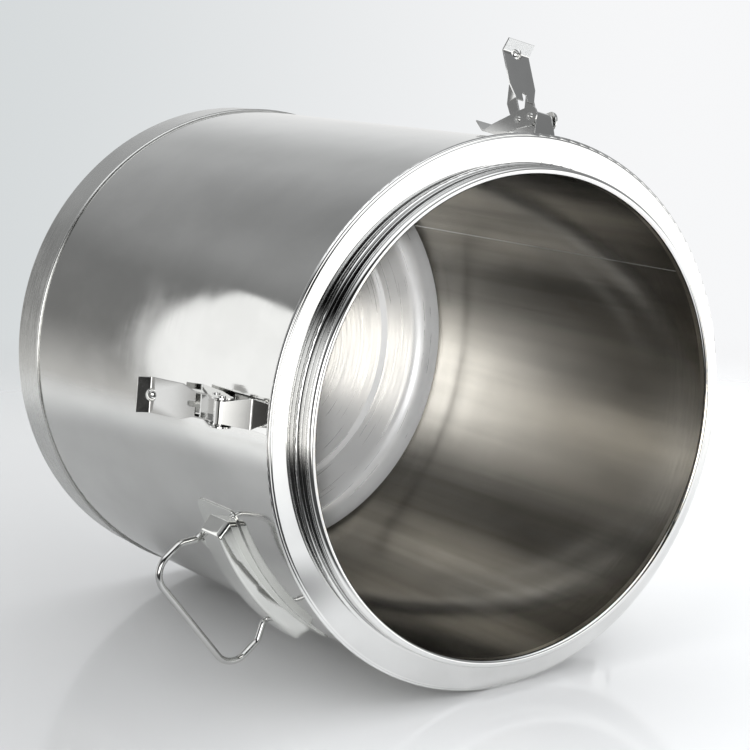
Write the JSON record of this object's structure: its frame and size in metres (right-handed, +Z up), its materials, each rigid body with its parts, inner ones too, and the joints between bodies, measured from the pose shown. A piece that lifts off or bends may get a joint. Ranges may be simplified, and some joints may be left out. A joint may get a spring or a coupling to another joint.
{
  "type": "milk can",
  "caption": "Insulated stainless steel milk can with a wide rolled mouth, latches round the rim and two folding wire bail handles.",
  "frame": {"origin": "centre of the underside, on the floor plane of the upright can", "axes": "+Z up along the can's axis from base to mouth, +X away from the left latch"},
  "size_m": [0.496, 0.5302, 0.4678],
  "materials": {
    "polished_shell": "polished stainless sheet, soft reflections",
    "satin_band": "satin stainless sheet",
    "polished_ring": "bright polished stainless",
    "liner_steel": "drawn stainless, fine lengthwise streaks",
    "latch_steel": "bright pressed stainless",
    "rivet_steel": "bright turned stainless",
    "handle_steel": "polished pressed stainless with light spot-weld marks",
    "bail_wire": "polished drawn stainless wire",
    "foam": "rigid insulating foam, closed cells"
  },
  "bodies": {
    "can": {"outer_shell": "polished_shell", "base_band": "satin_band", "base_plate": "satin_band", "liner_wall": "liner_steel", "liner_bottom": "liner_steel", "mouth_ring": "polished_ring", "foam_sleeve": "foam", "foam_disc": "foam", "latch_base_left": "latch_steel", "knuckle_bush_left": "rivet_steel", "lever_rivet_left": "rivet_steel", "latch_base_top": "latch_steel", "knuckle_bush_top": "rivet_steel", "lever_rivet_top": "rivet_steel", "latch_base_far": "latch_steel", "knuckle_bush_far": "rivet_steel", "lever_rivet_far": "rivet_steel", "handle_plate_left": "handle_steel", "pivot_saddles_left": "handle_steel", "handle_plate_right": "handle_steel", "pivot_saddles_right": "handle_steel"},
    "lever_left": {"latch_lever_left": "latch_steel", "hook_rivet_left": "rivet_steel"},
    "hook_left": {"latch_hook_left": "latch_steel"},
    "lever_top": {"latch_lever_top": "latch_steel", "hook_rivet_top": "rivet_steel"},
    "hook_top": {"latch_hook_top": "latch_steel"},
    "lever_far": {"latch_lever_far": "latch_steel", "hook_rivet_far": "rivet_steel"},
    "hook_far": {"latch_hook_far": "latch_steel"},
    "bail_left": {"handle_bail_left": "bail_wire"},
    "bail_right": {"handle_bail_right": "bail_wire"}
  },
  "joints": [
    {"name": "lever_left_joint", "type": "hinge", "parent": "can", "child": "lever_left", "pos_m": [-0.24049, -0.00168, 0.402], "axis": [-0.007, 1, 0], "range_deg": [0, 150]},
    {"name": "hook_left_joint", "type": "hinge", "parent": "lever_left", "child": "hook_left", "pos_m": [-0.23689, -0.00165, 0.3875], "axis": [0.007, -1, 0], "range_deg": [-129, 13]},
    {"name": "lever_top_joint", "type": "hinge", "parent": "can", "child": "lever_top", "pos_m": [0.03762, 0.23754, 0.402], "axis": [0.9877, -0.1564, 0], "range_deg": [0, 150]},
    {"name": "hook_top_joint", "type": "hinge", "parent": "lever_top", "child": "hook_top", "pos_m": [0.03706, 0.23398, 0.3875], "axis": [-0.9877, 0.1564, 0], "range_deg": [-90.4, 51.6]},
    {"name": "lever_far_joint", "type": "hinge", "parent": "can", "child": "lever_far", "pos_m": [0.15778, -0.18151, 0.402], "axis": [-0.7547, -0.6561, 0], "range_deg": [0, 150]},
    {"name": "hook_far_joint", "type": "hinge", "parent": "lever_far", "child": "hook_far", "pos_m": [0.15542, -0.17879, 0.3875], "axis": [0.7547, 0.6561, 0], "range_deg": [-129, 13]},
    {"name": "bail_left_joint", "type": "hinge", "parent": "can", "child": "bail_left", "pos_m": [-0.16385, -0.15333, 0.3192], "axis": [0.6833, -0.7302, 0], "range_deg": [-35, 90]},
    {"name": "bail_right_joint", "type": "hinge", "parent": "can", "child": "bail_right", "pos_m": [0.16385, 0.15333, 0.3192], "axis": [-0.6833, 0.7302, 0], "range_deg": [-125, 0]}
  ]
}
